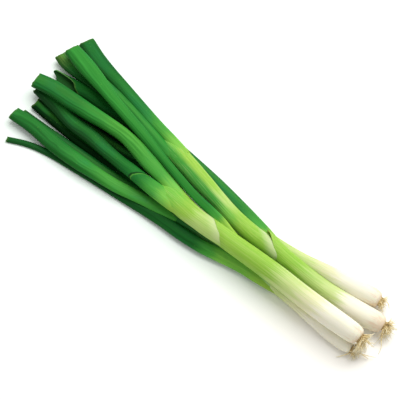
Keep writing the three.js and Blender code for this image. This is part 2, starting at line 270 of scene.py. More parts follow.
@dataclass
class Press:
    """Keeps the pieces out of each other: each gives way to those that were added before it."""

    gap: float = 0.12  # clear space between pieces that press on each other
    full: float = 3.6  # depth up to which a pressed piece gives way all the way
    none: float = 5.5  # depth from which it stays as it is, inside the other
    placed: dict[str, Rings] = field(default_factory=dict)

    def add(self, name: str, rings: Rings) -> None:
        """Remember a piece that later ones give way to."""
        self.placed[name] = rings

    def push(self, grid: np.ndarray, rings: Rings, wall: float = 0.0,
             skip: tuple[str, ...] = ()) -> np.ndarray:
        """Move the points that lie inside earlier pieces out to their skins, away from their middles.

        Args:
            grid: Points as rings by sides by 3.
            rings: The sections that the points belong to, one for each ring.
            wall: Thickness of the piece outside the points, on top of the gap.
            skip: Names of pieces that it may pass through, as a leaf does where it grows out of its stem.

        Returns:
            The moved points.
        """
        moved = grid.copy()
        for name, other in self.placed.items():
            reach = rings.width.max() + other.width.max()
            low, high = other.centre.min(0) - reach, other.centre.max(0) + reach
            near = np.all((rings.centre > low) & (rings.centre < high), axis=1)
            if name in skip or not near.any():
                continue
            moved[near] = self._push_from(moved[near], rings.centre[near], other, self.gap + wall)
        return moved

    def _push_from(self, grid: np.ndarray, centres: np.ndarray, other: Rings, margin: float) -> np.ndarray:
        """Move points out of one other piece, each ring along the line between the two middles.

        Args:
            grid: Points as rings by sides by 3.
            centres: The middles of the rings.
            other: The sections of the other piece.
            margin: Clear distance to keep from it.

        Returns:
            The moved points.
        """
        moved = grid.copy()
        for row, centre in enumerate(centres):
            points = moved[row]
            nearest = np.argmin(np.linalg.norm(points[:, None] - other.centre[None], axis=2), axis=1)
            middle, side, top = other.centre[nearest], other.side[nearest], other.top[nearest]
            lateral = np.stack([side, top])
            offset = points - middle
            size = np.stack([other.width[nearest], other.thick[nearest]]) / 2 + margin
            away = centre - middle
            spot = np.einsum("kpd,pd->kp", lateral, offset)
            heading = np.einsum("kpd,pd->kp", lateral, away)
            heading = heading / np.maximum(np.linalg.norm(heading, axis=0), NO_LENGTH)
            past_end = np.abs(np.einsum("pd,pd->p", other.along[nearest], offset)) > 2 * RING_SPACING
            scaled_spot, scaled_heading = spot / size, heading / size
            square = np.sum(scaled_heading**2, axis=0)
            mixed = np.sum(scaled_spot * scaled_heading, axis=0)
            depth = np.sum(scaled_spot**2, axis=0) - 1.0
            inside = (depth < 0) & ~past_end
            root = np.sqrt(np.maximum(mixed**2 - square * depth, 0.0))
            travel = np.where(inside, (root - mixed) / np.maximum(square, NO_SQUARE), 0.0)
            travel = travel * smooth_step(travel, self.none, self.full)
            moved[row] = points + np.einsum("kp,kpd->pd", heading * travel, lateral)
        return moved


@dataclass
class Skin:
    """Vertices with the marks that their finish reads, and faces."""

    places: list[np.ndarray] = field(default_factory=list)
    marks: dict[str, list[np.ndarray]] = field(default_factory=dict)
    faces: list[tuple[int, ...]] = field(default_factory=list)
    count: int = 0

    def add_tube(self, grid: np.ndarray, marks: Marks) -> None:
        """Add rings of points as a closed tube, with a fan over each end.

        Args:
            grid: Points as rings by sides by 3, in millimetres.
            marks: Values to keep on the points, by name, one for each ring and side.
        """
        rows, sides = grid.shape[:2]
        first, last = grid[0].mean(0), grid[-1].mean(0)
        self.places.append(np.vstack([grid.reshape(-1, 3), first, last]))
        for name, values in marks.items():
            flat = values.reshape(rows * sides, -1)
            ends = np.vstack([values[0].reshape(sides, -1).mean(0), values[-1].reshape(sides, -1).mean(0)])
            self.marks.setdefault(name, []).append(np.vstack([flat, ends]))
        here = self.count + np.arange(rows * sides).reshape(rows, sides)
        beside = np.roll(here, -1, axis=1)
        quads = np.stack([here[:-1], beside[:-1], beside[1:], here[1:]], axis=-1).reshape(-1, 4)
        start, end = self.count + rows * sides, self.count + rows * sides + 1
        self.faces.extend(map(tuple, quads.tolist()))
        self.faces.extend((start, int(b), int(a)) for a, b in zip(here[0], beside[0]))
        self.faces.extend((end, int(a), int(b)) for a, b in zip(here[-1], beside[-1]))
        self.count += rows * sides + 2

    def make(self, name: str) -> bpy.types.Object:
        """A smooth-shaded Blender object of everything added so far, in metres.

        Args:
            name: The object's name.

        Returns:
            The new object, linked to the scene.
        """
        mesh = bpy.data.meshes.new(name)
        places = (np.vstack(self.places) + BUNCH_SHIFT) * MM
        mesh.from_pydata(places.tolist(), [], self.faces)
        mesh.polygons.foreach_set("use_smooth", [True] * len(mesh.polygons))
        for mark, parts in self.marks.items():
            values = np.vstack(parts).astype(np.float32)
            kind = "FLOAT" if values.shape[1] == 1 else "FLOAT_VECTOR"
            attribute = mesh.attributes.new(mark, kind, "POINT")
            attribute.data.foreach_set("value" if kind == "FLOAT" else "vector", values.ravel())
        mesh.update()
        made = bpy.data.objects.new(name, mesh)
        bpy.context.scene.collection.objects.link(made)
        return made


def reach_of(along_x: float | np.ndarray) -> float | np.ndarray:
    """How far along the bunch a place is, from 0 at the bulbs to 1 at the leaf ends."""
    return (BULB_END - along_x) / (BULB_END - LEAF_END)


def skin_marks(rings: Rings, angles: np.ndarray, inner: float = 0.0, cut: float = 0.0) -> Marks:
    """The marks of a stretch of skin.

    Args:
        rings: Its sections.
        angles: Places round the section, in radians.
        inner: 1 on the wall of a hollow.
        cut: 1 on a cut face.

    Returns:
        reach runs from 0 at the bulbs to 1 at the leaf ends, left is the distance to the cut, grain is a
        place on the unrolled skin, lift is 1 on top and -1 below, near is 1 at the near edge.
    """
    shape = (len(rings.travel), len(angles))
    lift = np.broadcast_to(np.sin(angles), shape)
    near = np.broadcast_to(np.cos(angles), shape)
    across = near * rings.width[:, None] / 2
    upward = lift * rings.thick[:, None] / 2
    travel = np.broadcast_to(rings.travel[:, None], shape)
    return {
        "reach": np.broadcast_to(reach_of(rings.centre[:, 0])[:, None], shape),
        "left": rings.travel[-1] - travel,
        "grain": np.stack([across, upward, travel], axis=-1),
        "lift": lift,
        "near": near,
        "inner": np.full(shape, inner),
        "cut": np.full(shape, cut),
    }


def join_marks(*parts: Marks) -> Marks:
    """Marks of several stretches, one after the other."""
    return {name: np.concatenate([part[name] for part in parts]) for name in parts[0]}


class Graph:
    """The nodes of one material."""

    def __init__(self, name: str) -> None:
        """Start an empty material.

        Args:
            name: Its name.
        """
        self.material = bpy.data.materials.new(name)
        self.material.use_nodes = True
        self.tree = self.material.node_tree
        self.tree.nodes.clear()

    def add(self, kind: str, sockets: dict[str | int, object] | None = None,
            **settings: object) -> bpy.types.Node:
        """Add a node.

        Args:
            kind: Its type, without the ShaderNode in front.
            sockets: What goes into its inputs, a plain value or another node's output.
            **settings: Its properties.

        Returns:
            The new node.
        """
        node = self.tree.nodes.new("ShaderNode" + kind)
        for name, value in settings.items():
            setattr(node, name, value)
        for key, value in (sockets or {}).items():
            if isinstance(value, Socket):
                self.tree.links.new(value, node.inputs[key])
            else:
                node.inputs[key].default_value = value
        return node

    def mark(self, name: str, vector: bool = False) -> Socket:
        """A mark of the mesh, as a number or a vector."""
        node = self.add("Attribute", attribute_name=name)
        return node.outputs["Vector" if vector else "Fac"]

    def math(self, operation: str, *values: object) -> Socket:
        """A sum on numbers, by the name of its operation."""
        return self.add("Math", dict(enumerate(values)), operation=operation).outputs[0]

    def away(self, value: Socket, centre: float) -> Socket:
        """How far a number is from a centre."""
        return self.math("ABSOLUTE", self.math("SUBTRACT", value, centre))

    def fit(self, value: Socket, low: float, high: float, to_low: float = 0.0,
            to_high: float = 1.0) -> Socket:
        """Stretch a range of a number softly to another range."""
        sockets = {"Value": value, "From Min": low, "From Max": high, "To Min": to_low, "To Max": to_high}
        return self.add("MapRange", sockets, interpolation_type="SMOOTHSTEP").outputs["Result"]

    def spread(self, pattern: Socket, low: float, high: float) -> Socket:
        """Stretch a pattern over a range."""
        return self.fit(pattern, *PATTERN_RANGE, low, high)

    def streaks(self, fine: float, length: float, detail: float = 2.0, seed: float = 0.0) -> Socket:
        """Lengthwise streaks.

        Args:
            fine: Streaks for each millimetre across.
            length: How many times longer than wide they are.
            detail: Finer streaks in them.
            seed: Moves the pattern.

        Returns:
            A number round 0.5.
        """
        place = self.add("Mapping", {
            "Vector": self.mark("grain", vector=True), "Location": (seed, seed, seed),
            "Scale": (fine, fine, fine / length),
        })
        sockets = {"Vector": place.outputs[0], "Scale": 1.0, "Detail": detail, "Roughness": 0.6}
        return self.add("TexNoise", sockets).outputs["Fac"]

    def blend(self, share: object, first: object, second: object, kind: str = "MIX") -> Socket:
        """Mix two colours.

        Args:
            share: How much of the second there is.
            first: Colour or socket.
            second: Colour or socket.
            kind: The way of mixing.

        Returns:
            The mixed colour.
        """
        node = self.add("Mix", data_type="RGBA", blend_type=kind)
        for key, value in ((0, share), (6, first), (7, second)):
            if isinstance(value, Socket):
                self.tree.links.new(value, node.inputs[key])
            else:
                node.inputs[key].default_value = (*value, 1.0) if isinstance(value, tuple) else value
        return node.outputs[2]

    def tint(self, share: object, colour: Socket, by: Colour) -> Socket:
        """Multiply a colour by another one, as far as share says."""
        return self.blend(share, colour, by, "MULTIPLY")

    def ramp(self, share: Socket, stops: Stops) -> Socket:
        """Look up a colour in softly joined stops.

        Args:
            share: Where to look, from 0 to 1.
            stops: The places from 0 to 1 and their tones.

        Returns:
            The colour.
        """
        node = self.add("ValToRGB", {"Fac": share})
        node.color_ramp.interpolation = "EASE"
        elements = node.color_ramp.elements
        while len(elements) < len(stops):
            elements.new(0.5)
        for element, (place, tone) in zip(elements, stops):
            element.position = place
            element.color = (*tone.value, 1.0)
        return node.outputs["Color"]

    def along_bunch(self, shift: Socket, stops: Stops) -> Socket:
        """Colours at places along X, each moved by a share of the bunch's length."""
        place = self.math("ADD", self.mark("reach"), shift)
        return self.ramp(place, tuple((reach_of(along_x), tone) for along_x, tone in stops))

    def bump(self, height: Socket, distance: float, strength: float) -> Socket:
        """A raised surface, in metres."""
        sockets = {"Height": height, "Distance": distance, "Strength": strength}
        return self.add("Bump", sockets).outputs["Normal"]

    def finish(self, sockets: dict[str, object]) -> bpy.types.Material:
        """Close the material with its surface shader.

        Args:
            sockets: What goes into the shader's inputs.

        Returns:
            The finished material.
        """
        shader = self.add("BsdfPrincipled", sockets)
        output = self.add("OutputMaterial")
        self.tree.links.new(shader.outputs[0], output.inputs[0])
        return self.material


@dataclass(frozen=True)
class Tint:
    """A colour that multiplies the skin's, more and more as a pattern goes from low to high."""

    pattern: str
    low: float
    high: float
    strength: float
    colour: Colour


LEAF_TINTS = (
    Tint("wide", 0.50, 0.66, 0.60, (0.45, 0.66, 0.50)),  # dark bands
    Tint("fine", 0.48, 0.68, 0.55, (1.35, 1.22, 1.30)),  # pale veins
    Tint("fine", 0.46, 0.34, 0.40, (0.60, 0.78, 0.70)),  # furrows between the veins
    Tint("cloud", 0.42, 0.70, 0.30, (1.40, 1.14, 1.00)),  # warm patches
    Tint("cloud", 0.48, 0.32, 0.45, (0.60, 0.98, 1.90)),  # cool patches
)


@dataclass(frozen=True)
class Finish:
    """What the skin of a piece looks like. The seed moves its patterns."""

    seed: int = field(kw_only=True)

    def material(self, name: str) -> bpy.types.Material:
        """Build the material, with this name."""
        graph = Graph(name)
        return graph.finish(self.surface(graph))

    def surface(self, graph: Graph) -> dict[str, object]:
        """Work out what goes into the surface shader."""
        raise NotImplementedError


@dataclass(frozen=True)
class LeafFinish(Finish):
    """Glossy green skin with lengthwise veins, painted highlight and shade, a hollow painted dark and a cut
    rim.
    """

    stops: Stops
    crest: Tone = Tone.GRASS
    highlight_share: float = 0.5
    fold: float = 0.3  # where across the leaf its near side turns down, from -1 at the far edge to 1
    flank_shade: float = 0.9  # how dark the painted shade on that side is
    shine: float = 0.12
    highlight_near: float = -0.2  # where across the leaf the middle of its painted highlight is
    ridge_near: float = -0.16  # how far the ridge with its painted highlight is from the fold
    fold_from: float = 50.0  # how far along the leaf the fold's painted shade starts to show
    fold_full: float = 110.0
    young_until: tuple[float, float] = (4.0, 52.0)  # how far along it the skin starts and ends to age

    def surface(self, graph: Graph) -> dict[str, object]:
        """Work out the skin from its patterns, then the parts that only some of it has.

        Args:
            graph: The material's nodes.

        Returns:
            The inputs of the surface shader.
        """
        patterns = {
            "wide": graph.streaks(0.30, 45.0, seed=self.seed),
            "fine": graph.streaks(1.6, 90.0, detail=3.0, seed=self.seed + 7),
            "cloud": graph.streaks(0.10, 4.0, seed=self.seed + 3),
        }
        wide, fine, cloud = patterns.values()
        grain = graph.mark("grain", vector=True)
        travel = graph.add("SeparateXYZ", {"Vector": grain}).outputs["Z"]
        near = graph.math("ADD", graph.mark("near"), graph.spread(cloud, -0.12, 0.12))
        young = graph.along_bunch(graph.spread(fine, -0.01, 0.01), self.stops)
        # painted highlight along the top of the leaf, where the light falls
        colour = graph.blend(self._painted_highlight(graph, near, wide), young, self.crest.value)
        for tint in LEAF_TINTS:
            share = graph.fit(patterns[tint.pattern], tint.low, tint.high, 0.0, tint.strength)
            colour = graph.tint(share, colour, tint.colour)
        # painted shade on the near side and along the fold, with a painted highlight on the ridge
        colour = self._fold_shade_and_highlight(graph, colour, near, travel)
        speck = graph.add("TexVoronoi", {"Vector": grain, "Scale": 0.22}).outputs["Distance"]
        colour = graph.blend(graph.fit(speck, 0.10, 0.03, 0.0, 0.3), colour, Tone.SAP.value)
        colour = graph.blend(graph.fit(travel, *self.young_until, 0.15, 1.0), young, colour)
        colour = self._collared(graph, colour, wide)
        colour = graph.blend(graph.fit(graph.mark("left"), 2.5, 0.0, 0.0, 0.5), colour, Tone.OLIVE.value)
        # painted shade: the inside of the hollow is made dark green
        colour = graph.blend(graph.mark("inner"), colour, Tone.HOLLOW.value)
        colour = graph.blend(graph.mark("cut"), colour, Tone.CUT_FACE.value)
        height = graph.math("ADD", fine, graph.math("MULTIPLY", wide, 2.0))
        return {
            "Base Color": colour,
            "Roughness": graph.spread(wide, 0.40, 0.55),
            "Specular IOR Level": self.shine,
            "Normal": graph.bump(height, 0.00022, 0.8),
        }

    def _painted_highlight(self, graph: Graph, near: Socket, wide: Socket) -> Socket:
        """Paint a highlight in streaks along the top, where the light falls.

        Args:
            graph: The material's nodes.
            near: Where across the leaf a place is.
            wide: The broad streaks.

        Returns:
            How much of the highlight's colour there is.
        """
        middle = graph.fit(graph.away(near, self.highlight_near), 0.45, 0.05)
        crest = graph.math("MULTIPLY", middle, graph.fit(graph.mark("lift"), 0.1, 0.7))
        streaks = graph.fit(wide, 0.3, 0.65, 0.3 * self.highlight_share, self.highlight_share)
        return graph.math("MULTIPLY", crest, streaks)

    def _fold_shade_and_highlight(self, graph: Graph, colour: Socket, near: Socket, travel: Socket) -> Socket:
        """Paint shade on the near side below the fold and along the line of the fold, and paint a highlight
        on the ridge beside it.

        Args:
            graph: The material's nodes.
            colour: The colour so far.
            near: Where across the leaf a place is.
            travel: How far along the leaf it is.

        Returns:
            The colour with the fold.
        """
        folded = graph.fit(travel, self.fold_from, self.fold_full, 0.1, 1.0)
        # painted shade on the near side below the fold, away from the light
        side = graph.fit(near, self.fold, self.fold + 0.4, 0.0, self.flank_shade)
        colour = graph.tint(graph.math("MULTIPLY", side, folded), colour, (0.3, 0.5, 0.35))
        # painted shade along the line of the fold
        line = graph.fit(graph.away(near, self.fold), 0.12, 0.01, 0.0, 0.6)
        colour = graph.tint(graph.math("MULTIPLY", line, folded), colour, (0.35, 0.55, 0.4))
        # painted highlight on the ridge beside the fold
        ridge_highlight = graph.fit(graph.away(near, self.fold + self.ridge_near), 0.09, 0.01, 0.0, 0.35)
        return graph.tint(ridge_highlight, colour, (1.5, 1.25, 1.4))

    @staticmethod
    def _collared(graph: Graph, colour: Socket, wide: Socket) -> Socket:
        """Draw the end of the sheath, a pale lip with a painted shadow line past it, where the gap under
        the lip falls in shade.

        Args:
            graph: The material's nodes.
            colour: The colour so far.
            wide: The broad streaks, which make the line uneven.

        Returns:
            The colour with the collar.
        """
        edge = graph.math("ADD", graph.mark("collar"), graph.spread(wide, -0.6, 0.6))
        colour = graph.blend(graph.fit(graph.away(edge, -1.4), 1.6, 0.2, 0.0, 0.35), colour, Tone.SAP.value)
        # painted shadow line past the lip
        return graph.tint(graph.fit(graph.away(edge, 0.4), 1.8, 0.5), colour, (0.12, 0.3, 0.2))


@dataclass(frozen=True)
class ShankFinish(Finish):
    """Moist white flesh that turns lime and green towards the leaves, with fine lengthwise fibres."""

    stops: Stops
    stem_stops: Stops
    fibre: float = 0.35
    flank_shade: Stops | None = None  # darker green stops painted as shade on the stem's near side, where given

    def surface(self, graph: Graph) -> dict[str, object]:
        """Work out the skin of the sheath and of the stem in it.

        Args:
            graph: The material's nodes.

        Returns:
            The inputs of the surface shader.
        """
        wide = graph.streaks(0.24, 34.0, seed=self.seed)
        fine = graph.streaks(1.5, 80.0, detail=3.0, seed=self.seed + 5)
        green = graph.mark("green")
        shift = graph.math("ADD", graph.spread(wide, -0.012, 0.012), graph.spread(fine, -0.01, 0.01))
        stem = graph.along_bunch(shift, self.stem_stops)
        # painted shade: the stem's near side, away from the light, turns to darker green stops
        if self.flank_shade:
            side = graph.math("ADD", graph.mark("near"), graph.spread(wide, -0.1, 0.1))
            stem = graph.blend(graph.fit(side, -0.2, 0.35), stem, graph.along_bunch(shift, self.flank_shade))
        colour = graph.blend(graph.mark("stem"), graph.along_bunch(shift, self.stops), stem)
        veined = graph.math("MULTIPLY", graph.fit(fine, 0.46, 0.66), graph.fit(green, 0.0, 1.0, 0.12, 1.0))
        colour = graph.tint(graph.math("MULTIPLY", veined, self.fibre), colour, (0.62, 0.86, 0.42))
        pale = graph.math("MULTIPLY", graph.fit(fine, 0.46, 0.34), graph.fit(green, 0.0, 1.0, 0.0, 0.22))
        colour = graph.blend(pale, colour, Tone.CREAM.value)
        colour = graph.tint(graph.fit(wide, 0.5, 0.8, 0.0, 0.3), colour, (0.86, 0.93, 0.72))
        colour = graph.blend(graph.mark("band"), colour, Tone.BLUSH.value)
        colour = graph.blend(graph.mark("inner"), colour, Tone.PALE_LIME.value)
        height = graph.math("ADD", fine, graph.math("MULTIPLY", wide, 2.5))
        return {
            "Base Color": colour,
            "Roughness": graph.spread(wide, 0.46, 0.6),
            "Specular IOR Level": 0.18,
            "Subsurface Weight": 0.15,
            "Subsurface Radius": (1.0, 0.8, 0.45),
            "Subsurface Scale": 0.003,
            "Normal": graph.bump(height, 0.00012, 0.6),
        }


@dataclass(frozen=True)
class RootFinish(Finish):
    """Dry straw-coloured roots, darker where they leave the plate."""

    stops: Stops = ((0.0, Tone.BARK), (0.25, Tone.TAN), (0.6, Tone.STRAW), (1.0, Tone.FLESH))  # to the tips

    def surface(self, graph: Graph) -> dict[str, object]:
        """Work out the skin of the roots.

        Args:
            graph: The material's nodes.

        Returns:
            The inputs of the surface shader.
        """
        patch = graph.streaks(0.5, 2.0, detail=3.0, seed=self.seed)
        fine = graph.streaks(3.0, 6.0, seed=self.seed + 2)
        place = graph.math("ADD", graph.mark("tip"), graph.spread(patch, -0.3, 0.3))
        colour = graph.ramp(place, self.stops)
        colour = graph.tint(graph.fit(fine, 0.5, 0.75, 0.0, 0.5), colour, (0.6, 0.5, 0.4))
        return {
            "Base Color": colour,
            "Roughness": graph.spread(fine, 0.6, 0.8),
            "Specular IOR Level": 0.25,
            "Normal": graph.bump(fine, 0.0002, 0.7),
        }


def attach(made: bpy.types.Object, finish: Finish, node: str) -> None:
    """Give a piece its finish and let it stand for a node of the model.

    Args:
        made: The piece.
        finish: What its skin looks like.
        node: Name of the node that it replaces.
    """
    made.data.materials.append(finish.material(f"{made.name}_finish"))
    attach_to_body(made, "root")
    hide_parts(node)
    LOG.info("%s stands for %s: %d faces", made.name, node, len(made.data.polygons))


@dataclass
class Leaf:
    """One hollow leaf, flattened, with a square cut end."""

    onion: str
    number: int
    route: Route
    finish: LeafFinish
    slant: float = 0.0  # how much further one edge reaches at the cut
    slant_turn: float = 0.0  # where on the section that edge is
    ragged: float = 0.25
    collar: float = -50.0  # how far from its start its sheath ends, below 0 where that is inside the stem
    collar_slant: float = 7.5  # how much further the sheath reaches at one edge
    collar_turn: float = 30.0  # where on the section that edge is
    box: tuple[float, float] = (0.9, 0.6)  # how boxy its section is at its start and its cut end
    sides: int = 56
    wall: float = 0.9
    hollow_from: float = 0.42  # share of its length where its hollow starts
    rim_round: float = 0.2  # share of the wall by which each edge of the rim is rounded
    rim_bulge: float = 0.12
    cut_reach: float = 26.0  # how far back the cut still moves the leaf
    floor_gap: float = 0.02  # least height of its skin above the ground

    def mesh(self, press: Press) -> bpy.types.Object:
        """Build the outside, the cut rim and the hollow as one closed tube.

        Args:
            press: The pieces that it gives way to.

        Returns:
            The leaf's object.
        """
        name = f"leaf_{self.onion}_{self.number}"
        own_stem = (f"shank_{self.onion}", f"shank_{self.onion}_stem")
        section = Section(*self.box, seed=self.finish.seed)
        angles = np.linspace(0, 2 * math.pi, self.sides, endpoint=False)
        rings = self.route.rings()
        inside = rings.pick(rings.share() >= self.hollow_from)
        outer = press.push(section.outline(rings, angles), rings, skip=own_stem)
        inner = press.push(section.outline(inside, angles, self.wall), inside, self.wall, own_stem)
        for grid, part in ((outer, rings), (inner, inside)):
            self._cut_end(grid, part, angles)
        outer[..., 2] = np.maximum(outer[..., 2], self.floor_gap)
        inner[..., 2] = np.maximum(inner[..., 2], self.wall)
        inner = inner[::-1]
        rim = np.stack([
            outer[-1] * (1 - share) + inner[0] * share + rings.along[-1] * self.rim_bulge
            for share in (self.rim_round, 1 - self.rim_round)
        ])
        cut = skin_marks(rings.last(), angles, cut=1.0)
        mouth = {mark: np.repeat(rows, len(rim), axis=0) for mark, rows in cut.items()}
        hollow = {mark: rows[::-1] for mark, rows in skin_marks(inside, angles, inner=1.0).items()}
        marks = join_marks(skin_marks(rings, angles), mouth, hollow)
        edge = self.collar + self.collar_slant * np.cos(angles - math.radians(self.collar_turn))
        marks["collar"] = marks["grain"][..., 2] - edge
        skin = Skin()
        skin.add_tube(np.concatenate([outer, rim, inner]), marks)
        press.add(name, rings)
        return skin.make(name)

    def _cut_end(self, grid: np.ndarray, rings: Rings, angles: np.ndarray) -> None:
        """Slant and roughen the cut by moving the last rings along the leaf.

        Args:
            grid: Points as rings by sides by 3, which are moved.
            rings: Their sections.
            angles: Their places round the section, in radians.
        """
        draw = np.random.default_rng(self.finish.seed + CUT_DRAWS)
        wave = sum(draw.uniform(-1, 1) * np.cos(waves * angles + draw.uniform(0, 6)) for waves in CUT_WAVES)
        shift = self.slant * np.cos(angles - math.radians(self.slant_turn)) + self.ragged * wave
        share = smooth_step(rings.left(), self.cut_reach + 2.0 * self.slant, 0.0)
        grid += (share[:, None] * shift[None, :])[..., None] * rings.along[:, None, :]

    def dress(self, made: bpy.types.Object) -> None:
        """Give the leaf its finish and tie it to the model."""
        attach(made, self.finish, f"onion_{self.onion}_leaf_{self.number}")


@dataclass
class Shank:
    """A bulb with its sheath, and the stem that comes out of the sheath's mouth."""

    onion: str
    sheath: Route
    stem: Route
    finish: ShankFinish
    mouth_slant: float = 4.0  # how much further the sheath's far edge reaches at its mouth
    band: float = 0.6  # how pale the stem is where it leaves the mouth
    band_length: float = 14.0
    sides: int = 88
    wall: float = 0.55  # of the sheath
    mouth_depth: float = 7.0  # how far the sheath's inside is built back from its mouth
    mouth_reach: float = 30.0  # how far back the slanted mouth still moves the sheath
    lip_thinning: float = 0.35  # how much the wall thins at the lip
    lip_length: float = 9.0
    lip_bulge: float = 0.2
    stem_inset: float = 1.0  # how much slimmer the stem is inside the sheath
    stem_free: float = 1.0  # how far past the mouth it has its full width
    stem_held: float = -6.0  # the same for where it is slim, inside the mouth
    nose_length: float = 20.0  # of the taper that closes the stem between its leaves
    nose_steps: int = 8
    nose_slimming: float = 0.92
    section: Section = Section(uneven=0.012)
    stem_section: Section = Section()

    def mesh(self, press: Press) -> bpy.types.Object:
        """Build the sheath with an open mouth and the stem in it.

        Args:
            press: The pieces that it gives way to.

        Returns:
            The shank's object.
        """
        name = f"shank_{self.onion}"
        angles = np.linspace(0, 2 * math.pi, self.sides, endpoint=False)
        skin = Skin()
        sheath, stem = self.sheath.rings(RING_SPACING / 2), self.stem.rings()
        self._add_sheath(skin, sheath, angles, press)
        self._add_stem(skin, stem, sheath, angles, press)
        press.add(name, sheath)
        press.add(name + "_stem", stem)
        return skin.make(name)

    def _slanted(self, grid: np.ndarray, rings: Rings, angles: np.ndarray) -> np.ndarray:
        """Slant the mouth by moving the last rings along the sheath.

        Args:
            grid: Points as rings by sides by 3.
            rings: Their sections.
            angles: Their places round the section, in radians.

        Returns:
            The moved points.
        """
        share = smooth_step(rings.left(), self.mouth_reach, 0.0)
        shift = -self.mouth_slant * share[:, None] * np.cos(angles)[None, :]
        return grid + shift[..., None] * rings.along[:, None, :]

    def _add_sheath(self, skin: Skin, rings: Rings, angles: np.ndarray, press: Press) -> None:
        """Add the bulb and sheath, with a thin rim turned back into the mouth.

        Args:
            skin: What they are added to.
            rings: Sections of the sheath.
            angles: Places round the section, in radians.
            press: The pieces that it gives way to.
        """
        lip = rings.pick(rings.travel > rings.travel[-1] - self.mouth_depth)
        thinned = self.lip_thinning * smooth_step(rings.left(), self.lip_length, 0.0)
        outer = press.push(self.section.outline(rings, angles, thinned), rings)
        inner = press.push(self.section.outline(lip, angles, self.wall), lip, self.wall)
        outer, inner = self._slanted(outer, rings, angles), self._slanted(inner, lip, angles)
        outer[..., 2] = np.maximum(outer[..., 2], 0.0)
        inner[..., 2] = np.maximum(inner[..., 2], self.wall)
        rim = (outer[-1:] + inner[-1:]) / 2 + self.lip_bulge * rings.along[-1]
        marks = join_marks(
            skin_marks(rings, angles),
            skin_marks(rings.last(), angles),
            {name: rows[::-1] for name, rows in skin_marks(lip, angles, inner=1.0).items()},
        )
        marks["stem"] = marks["band"] = np.zeros_like(marks["reach"])
        marks["green"] = smooth_step(marks["reach"], 0.08, 0.25)
        skin.add_tube(np.concatenate([outer, rim, inner[::-1]]), marks)

    def _add_stem(self, skin: Skin, rings: Rings, sheath: Rings, angles: np.ndarray, press: Press) -> None:
        """Add the stem, which starts inside the sheath and closes in a taper between its leaves.

        Args:
            skin: What it is added to.
            rings: Sections of the stem.
            sheath: Sections of the sheath.
            angles: Places round the section, in radians.
            press: The pieces that it gives way to.
        """
        outer = press.push(self.stem_section.outline(rings, angles), rings)
        middle, ahead = rings.centre[-1], rings.along[-1]
        nose = [
            middle + ahead * self.nose_length * step
            + (outer[-1] - middle) * (1.0 - self.nose_slimming * step**1.5)
            for step in np.linspace(0.0, 1.0, self.nose_steps + 1)[1:]
        ]
        grid = np.concatenate([outer, np.array(nose)])
        marks = skin_marks(rings, angles)
        tail = {name: np.repeat(rows[-1:], self.nose_steps, axis=0) for name, rows in marks.items()}
        marks = join_marks(marks, tail)
        past = np.einsum("rsd,d->rs", grid - sheath.centre[-1], sheath.along[-1])
        past = past + self.mouth_slant * np.cos(angles)
        inward = unit(grid.mean(1, keepdims=True) - grid)
        grid += (self.stem_inset * smooth_step(past, self.stem_free, self.stem_held))[..., None] * inward
        grid[..., 2] = np.maximum(grid[..., 2], 0.0)
        marks["stem"] = marks["green"] = np.ones_like(past)
        on_top = smooth_step(marks["lift"], -0.2, 0.7)
        marks["band"] = self.band * smooth_step(past, self.band_length, self.stem_free) * on_top
        skin.add_tube(grid, marks)

    def dress(self, made: bpy.types.Object) -> None:
        """Give the shank its finish and tie it to the model."""
        attach(made, self.finish, f"onion_{self.onion}_shank")


@dataclass(frozen=True)
class Plate:
    """The root plate at the end of a bulb."""

    tip: np.ndarray
    outward: np.ndarray
    sideways: np.ndarray
    upward: np.ndarray
    radius: float
    sides: int = 40
    rings: int = 7
    height: float = 2.6
    sunk: float = 0.4  # how deep its dome starts in the bulb
    crown: float = 2.2  # height on it from which the middle roots start
    crown_fall: float = 1.4  # how much lower the outer ones start
    root_reach: float = 0.94  # share of its radius that the roots cover

    @classmethod
    def at_end(cls, sheath: Route) -> "Plate":
        """The plate that closes a sheath.

        Args:
            sheath: The route of the sheath, from the bulb's end.

        Returns:
            The plate.
        """
        tip, after = (np.array(point[:3]) for point in sheath.points[:2])
        outward = unit(tip - after)
        sideways = unit(np.cross(UP, outward))
        return cls(tip, outward, sideways, np.cross(outward, sideways), sheath.points[0][3] / 2 - 0.3)

    def dome(self) -> tuple[np.ndarray, Marks]:
        """Build the low, knobbly dome that the roots grow from.

        Returns:
            Its points as rings by sides by 3, and their marks.
        """
        angles = np.linspace(0, 2 * math.pi, self.sides, endpoint=False)
        circle = np.cos(angles)[:, None] * self.sideways + np.sin(angles)[:, None] * self.upward
        knobs = 1.0 + 0.05 * np.sin(7 * angles) + 0.04 * np.sin(12 * angles + 1)
        steps = np.linspace(0, 1, self.rings)
        grid = np.array([
            self.tip + self.outward * (self.height * step - self.sunk)
            + circle * (self.radius * knobs * math.sqrt(1 - 0.9 * step**2))[:, None]
            for step in steps
        ])
        tip = np.broadcast_to(0.12 * steps[:, None], grid.shape[:2])
        return grid, {"tip": tip, "grain": grid - self.tip}


